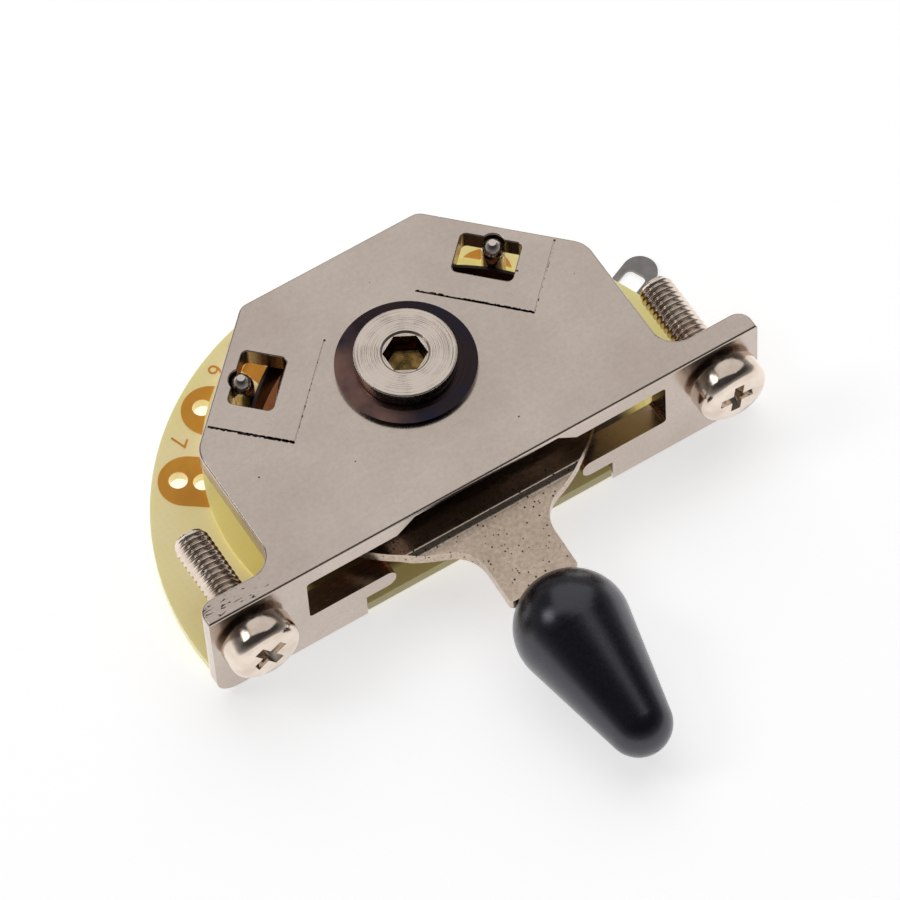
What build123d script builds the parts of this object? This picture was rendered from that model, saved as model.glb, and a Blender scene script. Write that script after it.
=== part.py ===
from build123d import *
import math
import os

# Guitar pickup selector switch with five positions. Millimetres, +Z up.
# The origin is on the front face of the mounting flange, midway between the two mounting screws and
# level with their axes. +Y runs back from the panel, and the lever points along -Y.

# Frame casting
screw_spacing = 41.3
screw_end_margin = 3.42
flange_thickness = 2.0
plate_thickness = 1.7
screw_to_top = 3.9
flange_height = 10.45
flange_end_length = 6.82
plate_side_depth = 13.5
plate_depth = 22.9
plate_rear_width = 15.75
side_corner_radius = 2.2
rear_corner_radius = 1.2
inside_corner_radius = 2.0
flange_bottom_radius = 1.8
flange_end_radius = 1.2
edge_radius = 0.22
slot_width = 31.6
slot_floor_drop = 6.4
slot_corner_radius = 0.3
relief_width = 12.6
relief_slope = 1.6
relief_top_drop = 0.4
bar_round_share = 0.45
bar_bottom_drop = 8.1
hook_gap = 16.6
leg_gap = 21.9
rear_lip_width = 9.9
rear_lip_front = 21.9
rear_lip_back = 23.1
rear_lip_top_drop = 0.5
rear_lip_bottom_drop = 3.6
window_length = 4.78
window_width = 3.52
window_inset = 2.93
window_rearward = 0.45
window_corner_radius = 0.45
window_rim_radius = 0.12
seam_width = 0.16
seam_depth = 0.14
seam_forward = 4.73
seam_inward = 4.11
seam_outward_length = 6.75
seam_rearward_length = 9.33

# Pivot, all on one upright axis
pivot_back = 11.53
bearing_diameter = 6.6
bearing_clearance = 0.05
bush_collar_diameter = 8.0
screw_shank_diameter = 4.9
shank_clearance = 0.05
plate_hole_clearance = 0.15
running_gap = 0.02
pivot_head_diameter = 7.9
pivot_head_height = 1.2
pivot_head_chamfer = 0.35
hex_across_flats = 3.0
hex_depth = 2.2
hex_turn = 30.0
washer_diameter = 10.9
washer_thickness = 0.4
washer_rise = 0.2
washer_bore_clearance = 0.15
nut_flange_diameter = 9.0
nut_flange_height = 0.9
nut_spigot_diameter = 7.0

# Lever
lever_drop = 3.85
lever_thickness = 1.0
crease_back = -0.64
crease_length = 0.5
crease_drop = 0.25
neck_slope = 5.3
bend_radius = 0.35
fan_radius = 14.4
fan_half_angle = 55.0
fan_corner_radius = 1.5
neck_width = 6.0
neck_fillet = 2.8
neck_end = -8.0
shoulder_radius = 0.35
blade_width = 4.2
blade_end = -18.5
hub_radius = 8.0
detent_pitch = 15.0
detent_count = 5
detent_radius = 0.8
detent_offset = 0.35

# Plastic tip of the lever
tip_wide_radius = 4.5
tip_narrow_radius = 2.58
tip_centre_distance = 9.15
tip_centre_reach = 3.9
tip_mouth_clearance = 0.15
tip_clearance = 0.03
socket_end_clearance = 0.2

# Insulating disc and contact rotor under the lever
disc_radius = 10.1
disc_thickness = 0.78
rotor_boss_radius = 7.0
rotor_boss_height = 1.3
rotor_radius = 11.25
rotor_thickness = 1.2
rotor_rivet_count = 3
rotor_rivet_circle = 5.4
rotor_rivet_diameter = 1.4
rotor_rivet_head = 2.2
rotor_rivet_head_height = 0.3
wiper_angle = 30.0
wiper_inner_reach = 6.0
wiper_outer_reach = 10.4
wiper_width = 3.0
wiper_thickness = 0.2
wiper_flat = 2.2
wiper_rivet_diameter = 1.2
wiper_rivet_head = 1.9
wiper_rivet_head_height = 0.25

# Detent spring and its two posts
post_diameter = 1.86
post_outward = 1.22
post_forward = 0.18
post_wall_clearance = 0.03
post_rise = 0.25
post_nose_length = 1.3
post_tip_radius = 0.3
post_spigot_diameter = 1.3
spring_thickness = 0.25
spring_plate_gap = 0.1
spring_disc_gap = 0.1
spring_middle_back = 20.54
spring_end_angle = 33.0
spring_nose_radius = 0.7

# Circuit board with its copper
board_side_margin = 0.34
board_centre_side = -0.63
board_centre_back = 4.52
board_thickness = 0.95
board_bottom_drop = 10.1
board_front = 0.9
board_groove_width = 45.2
groove_clearance = 0.05
tongue_clearance = 0.1
tongue_front = 0.05
copper_thickness = 0.08
pad_count = 7
pad_pitch = 18.3
pad_last_angle = 143.0
pad_width = 4.35
pad_end_margin = 2.63
pad_head_length = 2.3
pad_hole_diameter = 1.5
pad_hole_margin = 2.03
pad_hole_spacing = 1.9
strip_width = 2.6
strip_start_radius = 10.0
strip_cut_radius = 8.9
post_copper_gap = 0.4
ring_inner_radius = 5.4
ring_outer_radius = 6.9
ring_lead_width = 1.2
spacer_thickness = 0.45
spacer_radius = 17.2
spacer_centre_back = 9.4
spacer_opening_radius = 14.2

# Ground lug under the board
lug_angle = 23.4
lug_reach = 2.25
lug_length = 8.55
lug_width = 2.85
lug_slot_width = 1.8
lug_slot_length = 5.1
lug_slot_end_margin = 0.2
lug_slot_corner_radius = 0.5
lug_rivet_inset = 6.95
lug_rivet_diameter = 1.6
lug_rivet_head = 2.6
lug_rivet_head_height = 0.35
lug_thickness = 0.3

# Mounting screws
thread_diameter = 2.9
thread_clearance = 0.02
screw_length = 9.7
screw_head_diameter = 5.8
screw_head_height = 2.2
screw_gap = 0.35
screw_face_diameter = 4.6
screw_shoulder_height = 0.9
screw_shoulder_bulge = 0.17
screw_point_chamfer = 0.4
recess_width = 2.9
recess_wing = 0.8
recess_depth = 1.5
recess_tip_radius = 0.3
recess_turn_left = 33.5
recess_turn_right = -8.0

# Allowances used while building: the overshoot of a cutting tool and the tolerance of an edge search
overshoot = 1.0
search = 0.01

# Heights worked out from the plate's top face
plate_top = screw_to_top
plate_bottom = plate_top - plate_thickness
flange_bottom = plate_top - flange_height
board_bottom = plate_top - board_bottom_drop
board_top = board_bottom + board_thickness
copper_top = board_top + copper_thickness
lever_top = plate_top - lever_drop
lever_bottom = lever_top - lever_thickness
neck_back = crease_back - crease_length
neck_top = lever_top - crease_drop
disc_top = lever_bottom
disc_bottom = disc_top - disc_thickness
rotor_disc_top = disc_bottom - rotor_boss_height
rotor_bottom = rotor_disc_top - rotor_thickness
nut_top = board_top + nut_flange_height
head_bottom = plate_top + washer_thickness + washer_rise

# Widths that follow the screw spacing
frame_width = screw_spacing + 2 * screw_end_margin
plate_width = frame_width - 2 * flange_end_length
board_radius = frame_width / 2 + board_centre_side - board_side_margin
pad_outer_hole_radius = board_radius - pad_hole_margin
pad_inner_hole_radius = pad_outer_hole_radius - pad_hole_spacing
pad_end_radius = board_radius - pad_end_margin
pad_start_radius = pad_end_radius - pad_head_length
lug_end_radius = board_radius + lug_reach
lug_rivet_radius = lug_end_radius - lug_rivet_inset

# Places that follow the plate's slanted rear corners
corner_cut_run = (plate_width - plate_rear_width) / 2
corner_cut_angle = math.degrees(math.atan2(plate_depth - plate_side_depth, -corner_cut_run))
outward_side = math.sin(math.radians(corner_cut_angle))
outward_back = -math.cos(math.radians(corner_cut_angle))


def from_corner_cut(inward, forward):
    """A place on the right-hand side, measured from the middle of the slanted corner's edge."""
    middle_side = (plate_width + plate_rear_width) / 4
    middle_back = (plate_depth + plate_side_depth) / 2
    side = middle_side - inward * outward_side + forward * outward_back
    back = middle_back - inward * outward_back - forward * outward_side
    return side, back


window_side, window_back = from_corner_cut(window_inset, -window_rearward)
seam_corner_side, seam_corner_back = from_corner_cut(window_inset + seam_inward, seam_forward - window_rearward)
post_side, post_back = from_corner_cut(window_inset - post_outward, post_forward - window_rearward)
pivot = Pos(0, pivot_back, 0)
board_centre = Pos(board_centre_side, board_centre_back, 0)
neck_place = Pos(0, neck_back, neck_top) * Rot(neck_slope, 0, 0)


def upright(sketch, bottom, top):
    """A flat outline raised into a solid between two heights."""
    return Pos(0, 0, bottom) * extrude(sketch, amount=top - bottom)


def round_bar(diameter, bottom, top):
    """A cylinder on the Z axis between two heights."""
    return upright(Circle(diameter / 2), bottom, top)


def corners(sketch, side, back):
    """The sketch's corners at a distance either side of the middle."""
    return [v for v in sketch.vertices() if abs(abs(v.X) - side) < search and abs(v.Y - back) < search]


def both_sides(shape):
    """A shape and its mirror image across the middle of the switch."""
    return shape + mirror(shape, about=Plane.YZ)


def at_angle(angle):
    """A turn about Z, with 0 along +X."""
    return Rot(0, 0, angle)


def save(shape, name):
    """Writes one piece to its own file."""
    export_step(shape, "parts/" + name + ".step")


def plate_outline():
    """The top plate seen from above, with its two slanted rear corners."""
    side = plate_width / 2
    rear = plate_rear_width / 2
    points = [(-side, 0), (side, 0), (side, plate_side_depth), (rear, plate_depth)]
    points += [(-rear, plate_depth), (-side, plate_side_depth)]
    outline = make_face(Polyline(*points, close=True))
    outline = fillet(corners(outline, side, plate_side_depth), side_corner_radius)
    return fillet(corners(outline, rear, plate_depth), rear_corner_radius)


def flange_profile():
    """The flange seen from the front, with the lever's slot and the two hooked bars below it."""
    half = frame_width / 2
    middle = plate_top - flange_height / 2
    profile = Pos(0, middle) * Rectangle(frame_width, flange_height)
    slot_floor = plate_top - slot_floor_drop
    bar_bottom = plate_top - bar_bottom_drop
    slot = Pos(0, (plate_bottom + slot_floor) / 2) * Rectangle(slot_width, plate_bottom - slot_floor)
    slot = fillet(slot.vertices(), slot_corner_radius)
    hooks = Pos(0, bar_bottom) * Rectangle(hook_gap, 2 * (slot_floor - bar_bottom))
    legs = Pos(0, (bar_bottom + flange_bottom) / 2) * Rectangle(leg_gap, bar_bottom - flange_bottom)
    profile = profile - slot - hooks - legs
    bar_round = (slot_floor - bar_bottom) * bar_round_share
    for back in (slot_floor, bar_bottom):
        profile = fillet(corners(profile, hook_gap / 2, back), bar_round)
    return fillet(corners(profile, half, flange_bottom), flange_bottom_radius)


def slot_relief():
    """The bevelled relief over the middle of the slot, which thins the plate's front edge to a lip."""
    side = relief_width / 2
    top = plate_top - relief_top_drop
    foot = plate_bottom - overshoot
    points = [(-side, foot), (-side - relief_slope, plate_bottom), (-side, top)]
    points += [(side, top), (side + relief_slope, plate_bottom), (side, foot)]
    return extrude(Plane.XZ * make_face(Polyline(*points, close=True)), amount=-flange_thickness)


def window(side):
    """One of the two windows, square to the slanted rear corners, notched for its spring post."""
    shape = fillet(Rectangle(window_length, window_width).vertices(), window_corner_radius)
    outline = Pos(side * window_side, window_back) * at_angle(side * corner_cut_angle) * shape
    outline += Pos(side * post_side, post_back) * Circle(post_diameter / 2 + post_wall_clearance)
    return upright(outline, plate_bottom - overshoot, plate_top + overshoot)


def seam(side):
    """The fine step that the mould's insert leaves around a window."""
    rearward = Rectangle(seam_rearward_length, seam_width)
    outward = Rectangle(seam_width, seam_outward_length)
    turned = Pos(side * seam_corner_side, seam_corner_back) * at_angle(side * corner_cut_angle)
    shape = turned * Pos(side * seam_rearward_length / 2, 0) * rearward
    shape += turned * Pos(0, -seam_outward_length / 2) * outward
    return upright(shape, plate_top - seam_depth, plate_top + overshoot)


def frame_body():
    """The one-piece cast frame: top plate, mounting flange, slot, hooked bars and rear lip."""
    plate = upright(plate_outline(), plate_bottom, plate_top)
    flange = extrude(Plane.XZ * flange_profile(), amount=-flange_thickness)
    ends = flange.edges().filter_by(Axis.Z).filter_by_position(Axis.Y, flange_thickness, flange_thickness)
    outer = [e for e in ends if abs(abs(e.center().X) - frame_width / 2) < search]
    flange = fillet(outer, flange_end_radius)
    lip_middle = (rear_lip_front + rear_lip_back) / 2
    lip = Pos(0, lip_middle) * Rectangle(rear_lip_width, rear_lip_back - rear_lip_front)
    lip = upright(lip, plate_top - rear_lip_bottom_drop, plate_top - rear_lip_top_drop)
    frame = plate + flange
    nooks = frame.edges().filter_by(Axis.Z)
    nooks = [e for e in nooks if abs(abs(e.center().X) - plate_width / 2) < search
             and abs(e.center().Y - flange_thickness) < search]
    frame = fillet(nooks, inside_corner_radius)
    top_edges = frame.faces().sort_by(Axis.Z)[-1].outer_wire().edges()
    frame = fillet(top_edges, edge_radius)
    frame = frame + lip - slot_relief() - window(-1) - window(1)
    rims = frame.faces().sort_by(Axis.Z)[-1].inner_wires()
    frame = fillet([edge for rim in rims for edge in rim.edges()], window_rim_radius)
    pivot_hole = round_bar(screw_shank_diameter + 2 * plate_hole_clearance, plate_bottom, plate_top)
    frame = frame - pivot * pivot_hole
    hole = Cylinder(thread_diameter / 2 + thread_clearance, 4 * flange_thickness, rotation=(90, 0, 0))
    for side in (-1, 1):
        frame = frame - seam(side) - Pos(side * screw_spacing / 2, 0, 0) * hole
    groove_depth = flange_thickness - board_front + groove_clearance
    groove_middle = Pos(0, flange_thickness - groove_depth / 2)
    groove = upright(groove_middle * Rectangle(board_groove_width, groove_depth),
                     board_bottom - groove_clearance, board_top + groove_clearance)
    return frame - groove


def pad_angles():
    """The direction of each terminal from the middle of the board's round edge."""
    return [pad_last_angle - pad_pitch * n for n in reversed(range(pad_count))]


def pad_holes():
    """Two solder holes through the board at each terminal."""
    hole = Circle(pad_hole_diameter / 2)
    holes = Sketch()
    for angle in pad_angles():
        for radius in (pad_outer_hole_radius, pad_inner_hole_radius):
            holes += board_centre * at_angle(angle) * Pos(radius, 0) * hole
    return holes


def posts_outline(diameter):
    """A circle at each spring post."""
    return both_sides(Pos(post_side, post_back) * Circle(diameter / 2))


def lug_place(radius):
    """A place on the ground lug's centre line."""
    return board_centre * at_angle(lug_angle) * Pos(radius, 0)


def circuit_board():
    """The round-backed fibreglass board, with a tongue that shows between the flange's legs."""
    outline = board_centre * Circle(board_radius)
    reach = 2 * frame_width
    outline -= Pos(0, board_front - reach / 2) * Rectangle(2 * reach, reach)
    nose_depth = flange_thickness + groove_clearance
    outside = (reach + board_groove_width) / 2 - 2 * groove_clearance
    outline -= both_sides(Pos(outside, nose_depth - reach / 2) * Rectangle(reach, reach))
    tongue_back = flange_thickness
    tongue_middle = Pos(0, (tongue_front + tongue_back) / 2)
    outline += tongue_middle * Rectangle(leg_gap - 2 * tongue_clearance, tongue_back - tongue_front)
    outline -= pad_holes()
    outline -= pivot * Circle(nut_spigot_diameter / 2)
    outline -= posts_outline(post_spigot_diameter)
    outline -= lug_place(lug_rivet_radius) * Circle(lug_rivet_diameter / 2)
    return upright(outline, board_bottom, board_top)


def terminal_pads():
    """Seven copper terminals, each with a strip that runs in under the rotor's contacts."""
    head_length = pad_end_radius - pad_start_radius
    head = Pos(pad_start_radius + head_length / 2, 0) * Rectangle(head_length, pad_width)
    head += Pos(pad_end_radius, 0) * Circle(pad_width / 2)
    strip_length = pad_start_radius - strip_start_radius
    strip = Pos(strip_start_radius + strip_length / 2, 0) * Rectangle(strip_length, strip_width)
    cuts = pad_holes() + pivot * Circle(strip_cut_radius)
    cuts += posts_outline(post_diameter + 2 * post_copper_gap)
    pads = []
    for angle in pad_angles():
        outline = board_centre * at_angle(angle) * (head + strip) - cuts
        pads.append(upright(outline, board_top, copper_top))
    return Compound(children=pads)


def common_ring():
    """The copper ring that both contacts share, with a lead towards the middle terminal."""
    ring = Circle(ring_outer_radius) - Circle(ring_inner_radius)
    lead_start = (ring_inner_radius + ring_outer_radius) / 2
    lead_length = strip_cut_radius - lead_start
    ring += Pos(0, lead_start + lead_length / 2) * Rectangle(ring_lead_width, lead_length)
    ring = ring & Circle(strip_cut_radius)
    return pivot * upright(ring, board_top, copper_top)


def board_spacer():
    """The thin fibreglass layer on the board, open in a circle around the rotor."""
    outline = Pos(0, spacer_centre_back) * Circle(spacer_radius)
    outline -= pivot * Circle(spacer_opening_radius)
    reach = 2 * spacer_radius
    front = flange_thickness + groove_clearance
    outline -= Pos(0, front - reach / 2) * Rectangle(2 * reach, reach)
    outline -= lug_place(lug_rivet_radius) * Circle(lug_rivet_diameter / 2)
    return upright(outline, copper_top, copper_top + spacer_thickness)


def ground_lug():
    """The tinned loop that the ground wire is soldered to, riveted under the board."""
    outline = Pos(lug_end_radius - lug_length / 2, 0) * Rectangle(lug_length, lug_width)
    outline += Pos(lug_end_radius, 0) * Circle(lug_width / 2)
    slot = fillet(Rectangle(lug_slot_length, lug_slot_width).vertices(), lug_slot_corner_radius)
    slot_middle = lug_end_radius - lug_slot_end_margin - lug_slot_length / 2
    outline -= Pos(slot_middle, 0) * slot
    outline -= Pos(lug_rivet_radius, 0) * Circle(lug_rivet_diameter / 2)
    placed = board_centre * at_angle(lug_angle) * outline
    return upright(placed, board_bottom - lug_thickness, board_bottom)


def lug_rivet():
    """The rivet that holds the lug, its head on the spacer and its tail flush with the lug."""
    head_seat = copper_top + spacer_thickness
    rivet = round_bar(lug_rivet_diameter, board_bottom - lug_thickness, head_seat)
    rivet += round_bar(lug_rivet_head, head_seat, head_seat + lug_rivet_head_height)
    return lug_place(lug_rivet_radius) * rivet


def spring_post():
    """A steel post with a bullet nose, riveted into the board through a thinner spigot."""
    radius = post_diameter / 2
    top = plate_top + post_rise
    shoulder = top - post_nose_length
    side = Polyline((post_tip_radius, top), (0, top), (0, board_top), (radius, board_top), (radius, shoulder))
    halfway = math.sin(math.radians(45))
    bulge = (radius * halfway, shoulder + post_nose_length * halfway)
    nose = ThreePointArc((radius, shoulder), bulge, (post_tip_radius, top))
    body = revolve(Plane.XZ * make_face(side + nose), Axis.Z)
    return body + round_bar(post_spigot_diameter, board_bottom, board_top)


def detent_spring():
    """The bowed leaf spring: its ends bear on the posts, its nose drops into the lever's notches."""
    gap = spring_thickness / 2 + post_diameter / 2 + running_gap
    reach = spring_middle_back + gap
    centre_back = (reach ** 2 - post_side ** 2 - post_back ** 2) / (2 * (reach - post_back))
    radius = spring_middle_back - centre_back
    end_side = radius * math.cos(math.radians(spring_end_angle))
    end_back = centre_back + radius * math.sin(math.radians(spring_end_angle))
    path = ThreePointArc((-end_side, end_back), (0, spring_middle_back), (end_side, end_back))
    start = Plane(origin=path @ 0, x_dir=(0, 0, 1), z_dir=path % 0)
    top = plate_bottom - spring_plate_gap
    bottom = lever_bottom + spring_disc_gap
    section = start * Rectangle(top - bottom, spring_thickness)
    strip = Pos(0, 0, (top + bottom) / 2) * sweep(section, path=path)
    nose_back = pivot_back + hub_radius + detent_offset
    nose_length = spring_middle_back - nose_back
    nose = Pos(0, nose_back) * Circle(spring_nose_radius)
    nose += Pos(0, nose_back + nose_length / 2) * Rectangle(2 * spring_nose_radius, nose_length)
    return strip + upright(nose, bottom, top)


def pivot_bush():
    """The turned bush that the lever swings on, with a collar against the plate."""
    bush = round_bar(bush_collar_diameter, lever_top + running_gap, plate_bottom)
    bush += round_bar(bearing_diameter, nut_top, lever_top + running_gap)
    bush -= round_bar(screw_shank_diameter + 2 * shank_clearance, nut_top, plate_bottom)
    return pivot * bush


def pivot_nut():
    """The flanged threaded insert that is pressed into the board below the bush."""
    nut = round_bar(nut_flange_diameter, board_top, nut_top)
    nut += round_bar(nut_spigot_diameter, board_bottom, board_top)
    nut -= round_bar(screw_shank_diameter + shank_clearance, board_bottom, nut_top)
    return pivot * nut


def pivot_screw():
    """The low-headed socket screw that clamps plate, bush and board together."""
    head_top = head_bottom + pivot_head_height
    screw = round_bar(pivot_head_diameter, head_bottom, head_top)
    rims = screw.edges().filter_by(GeomType.CIRCLE).sort_by(Axis.Z)
    screw = chamfer(rims[-1], pivot_head_chamfer)
    screw += round_bar(screw_shank_diameter, board_bottom, head_bottom)
    socket_radius = hex_across_flats / math.sqrt(3)
    socket = at_angle(hex_turn) * RegularPolygon(socket_radius, 6)
    return pivot * (screw - upright(socket, head_top - hex_depth, head_top))


def dished_washer():
    """The blackened spring washer, dished so that its inner rim lifts the screw's head."""
    outer = washer_diameter / 2
    inner = screw_shank_diameter / 2 + washer_bore_clearance
    points = [(inner, washer_rise), (outer, 0), (outer, washer_thickness)]
    points += [(inner, washer_thickness + washer_rise)]
    ring = revolve(Plane.XZ * make_face(Polyline(*points, close=True)), Axis.Z)
    return pivot * Pos(0, 0, plate_top) * ring


def lever_side():
    """The lever's section along the middle: flat fan, a crease, then the neck sloping down."""
    far_back = pivot_back + fan_radius
    slope = math.radians(neck_slope)
    far_front = blade_end - lever_thickness
    front_top = neck_top - (neck_back - far_front) * math.tan(slope)
    crease_slope = math.atan2(crease_drop, crease_length)
    rear_mitre = lever_thickness * math.tan(crease_slope / 2)
    front_mitre = lever_thickness * math.tan((crease_slope + slope) / 2)
    points = [(far_back, lever_top), (crease_back, lever_top), (neck_back, neck_top)]
    points += [(far_front, front_top), (far_front, front_top - lever_thickness / math.cos(slope))]
    points += [(neck_back + front_mitre, neck_top - lever_thickness)]
    points += [(crease_back + rear_mitre, lever_bottom), (far_back, lever_bottom)]
    section = make_face(Polyline(*points, close=True))
    bend_front = neck_back - search
    bend_rear = crease_back + front_mitre + rear_mitre + search
    bends = [v for v in section.vertices() if bend_front < v.X < bend_rear]
    section = fillet(bends, bend_radius)
    return extrude(Plane.YZ * section, amount=fan_radius, both=True)


def lever_outline():
    """The lever seen from above: notched hub, wide fan, neck and the blade inside the tip."""
    reach = 2 * fan_radius
    spread = reach * math.tan(math.radians(fan_half_angle))
    wedge = make_face(Polyline((0, 0), (-spread, -reach), (spread, -reach), close=True))
    fan = Circle(fan_radius) & wedge
    fan_side = fan_radius * math.sin(math.radians(fan_half_angle))
    fan_back = -fan_radius * math.cos(math.radians(fan_half_angle))
    fan = fillet(corners(fan, fan_side, fan_back), fan_corner_radius)
    neck_length = pivot_back - neck_end
    neck = Pos(0, -neck_length / 2) * Rectangle(neck_width, neck_length)
    neck = fillet(corners(neck, neck_width / 2, -neck_length), shoulder_radius)
    outline = fan + neck
    joint_back = -math.sqrt(fan_radius ** 2 - (neck_width / 2) ** 2)
    outline = fillet(corners(outline, neck_width / 2, joint_back), neck_fillet)
    blade_length = pivot_back - blade_end
    outline += Pos(0, -blade_length / 2) * Rectangle(blade_width, blade_length)
    outline += Circle(hub_radius)
    for n in range(detent_count):
        turn = (n - (detent_count - 1) / 2) * detent_pitch
        notch = at_angle(90 + turn) * Pos(hub_radius + detent_offset, 0) * Circle(detent_radius)
        outline -= notch
    return outline


def rivet_places():
    """The three rivets that tie the rotor to the lever."""
    step = 360 / rotor_rivet_count
    return [at_angle(90 + step * n) * Pos(rotor_rivet_circle, 0) for n in range(rotor_rivet_count)]


def hub_holes():
    """The bearing bore and rivet holes shared by the lever, the disc and the rotor."""
    holes = Circle(bearing_diameter / 2 + bearing_clearance)
    for place in rivet_places():
        holes += place * Circle(rotor_rivet_diameter / 2)
    return holes


def lever():
    """The nickel-plated steel lever, stamped from one sheet, creased in front of the fan."""
    outline = pivot * (lever_outline() - hub_holes())
    lowest = neck_top + (blade_end - neck_back) * math.tan(math.radians(neck_slope))
    return upright(outline, lowest - 2 * lever_thickness, lever_top + overshoot) & lever_side()


def lever_tip():
    """The black plastic tip: a wide round end, a straight taper and a narrow round end."""
    lean = math.asin((tip_wide_radius - tip_narrow_radius) / tip_centre_distance)
    along = math.cos(math.radians(neck_slope))
    shoulder = (neck_end - neck_back) / along
    blade_tip = (blade_end - neck_back) / along
    wide_centre = shoulder - tip_centre_reach
    narrow_centre = wide_centre - tip_centre_distance
    wide_back = wide_centre + tip_wide_radius
    narrow_end = narrow_centre - tip_narrow_radius

    def rim(radius, centre, angle):
        return (radius * math.cos(angle), centre + radius * math.sin(angle))

    wide_side = rim(tip_wide_radius, wide_centre, -lean)
    wide_middle = rim(tip_wide_radius, wide_centre, math.pi / 4)
    narrow_side = rim(tip_narrow_radius, narrow_centre, -lean)
    narrow_middle = rim(tip_narrow_radius, narrow_centre, -math.pi / 4)
    profile = ThreePointArc((0, wide_back), wide_middle, wide_side)
    profile += Line(wide_side, narrow_side)
    profile += ThreePointArc(narrow_side, narrow_middle, (0, narrow_end))
    profile += Line((0, narrow_end), (0, wide_back))
    body = Pos(0, 0, -lever_thickness / 2) * revolve(make_face(profile), Axis.Y)
    socket_end = blade_tip - socket_end_clearance
    socket = Pos(0, socket_end / 2) * Rectangle(blade_width + 2 * tip_clearance, -socket_end)
    mouth_end = shoulder - tip_mouth_clearance
    socket += Pos(0, mouth_end / 2) * Rectangle(neck_width + 2 * tip_clearance, -mouth_end)
    tip = body - upright(socket, -lever_thickness - tip_clearance, tip_clearance)
    return neck_place * tip


def fibre_disc():
    """The red fibre disc that insulates the contacts from the lever."""
    return pivot * upright(Circle(disc_radius) - hub_holes(), disc_bottom, disc_top)


def contact_rotor():
    """The brown phenolic rotor that carries the two moving contacts."""
    rotor = upright(Circle(rotor_boss_radius), rotor_disc_top, disc_bottom)
    rotor += upright(Circle(rotor_radius), rotor_bottom, rotor_disc_top)
    rotor -= upright(hub_holes(), rotor_bottom, disc_bottom)
    for angle in (wiper_angle, 180 - wiper_angle):
        place = at_angle(angle) * Pos(wiper_rivet_circle(), 0)
        rotor -= place * round_bar(wiper_rivet_diameter, rotor_bottom, disc_bottom)
    return pivot * rotor


def rotor_rivets():
    """Three rivets through lever, disc and rotor, heads on the lever."""
    rivet = round_bar(rotor_rivet_diameter, rotor_bottom, lever_top)
    rivet += round_bar(rotor_rivet_head, lever_top, lever_top + rotor_rivet_head_height)
    return Compound(children=[pivot * place * rivet for place in rivet_places()])


def wiper_rivet_circle():
    """The radius at which each moving contact is riveted to the rotor."""
    return (wiper_inner_reach + wiper_outer_reach) / 2


def wiper(angle):
    """A springy bronze contact, riveted at its middle, whose two ends press on the copper."""
    middle = wiper_rivet_circle()
    flat = wiper_flat / 2
    high = rotor_bottom - wiper_thickness
    low = copper_top + running_gap
    top = [(wiper_inner_reach, low + wiper_thickness), (middle - flat, rotor_bottom)]
    top += [(middle + flat, rotor_bottom), (wiper_outer_reach, low + wiper_thickness)]
    bottom = [(wiper_outer_reach, low), (middle + flat, high)]
    bottom += [(middle - flat, high), (wiper_inner_reach, low)]
    section = make_face(Polyline(*(top + bottom), close=True))
    strip = extrude(Plane.XZ * section, amount=wiper_width / 2, both=True)
    strip -= Pos(middle, 0, 0) * round_bar(wiper_rivet_diameter, high, rotor_bottom)
    return pivot * at_angle(angle) * strip


def wiper_rivets():
    """One small rivet through each moving contact into the rotor."""
    seat = rotor_bottom - wiper_thickness
    rivet = round_bar(wiper_rivet_diameter, seat, rotor_disc_top)
    rivet += round_bar(wiper_rivet_head, seat - wiper_rivet_head_height, seat)
    place = Pos(wiper_rivet_circle(), 0)
    angles = (wiper_angle, 180 - wiper_angle)
    return Compound(children=[pivot * at_angle(angle) * place * rivet for angle in angles])


def mounting_screw(recess_turn):
    """A machine screw with a flat-faced head, rounded at its shoulder, and a cross recess towards -Y."""
    radius = screw_head_diameter / 2
    face = screw_face_diameter / 2
    rim = screw_head_height - screw_shoulder_height
    side = Polyline((face, screw_head_height), (0, screw_head_height), (0, 0), (radius, 0), (radius, rim))
    shoulder = SagittaArc((radius, rim), (face, screw_head_height), -screw_shoulder_bulge)
    screw = revolve(Plane.XZ * make_face(side + shoulder), Axis.Z)
    shank = round_bar(thread_diameter, -screw_length, 0)
    point = shank.edges().filter_by(GeomType.CIRCLE).sort_by(Axis.Z)[0]
    screw += chamfer(point, screw_point_chamfer)
    cross = Rectangle(recess_width, recess_wing) + Rectangle(recess_wing, recess_width)
    recess = upright(at_angle(recess_turn) * cross, screw_head_height - recess_depth, screw_head_height)
    cone = Cone(recess_tip_radius, recess_width / 2, recess_depth, align=(Align.CENTER, Align.CENTER, Align.MIN))
    screw -= recess & Pos(0, 0, screw_head_height - recess_depth) * cone
    return Pos(0, -screw_gap, 0) * Rot(90, 0, 0) * screw


def main():
    """Builds every piece and writes each one to its own file."""
    os.makedirs("parts", exist_ok=True)
    save(frame_body(), "frame_body")
    save(circuit_board(), "circuit_board")
    save(terminal_pads(), "terminal_pads")
    save(common_ring(), "common_ring")
    save(board_spacer(), "board_spacer")
    save(ground_lug(), "ground_lug")
    save(lug_rivet(), "lug_rivet")
    post = spring_post()
    for side, turn, name in ((-1, recess_turn_left, "left"), (1, recess_turn_right, "right")):
        save(Pos(side * post_side, post_back, 0) * post, "spring_post_" + name)
        save(Pos(side * screw_spacing / 2, 0, 0) * mounting_screw(turn), "mounting_screw_" + name)
    save(detent_spring(), "detent_spring")
    save(pivot_bush(), "pivot_bush")
    save(pivot_nut(), "pivot_nut")
    save(pivot_screw(), "pivot_screw")
    save(dished_washer(), "dished_washer")
    save(lever(), "lever")
    save(lever_tip(), "lever_tip")
    save(fibre_disc(), "fibre_disc")
    save(contact_rotor(), "contact_rotor")
    save(rotor_rivets(), "rotor_rivets")
    save(wiper(180 - wiper_angle), "wiper_left")
    save(wiper(wiper_angle), "wiper_right")
    save(wiper_rivets(), "wiper_rivets")


main()
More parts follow.
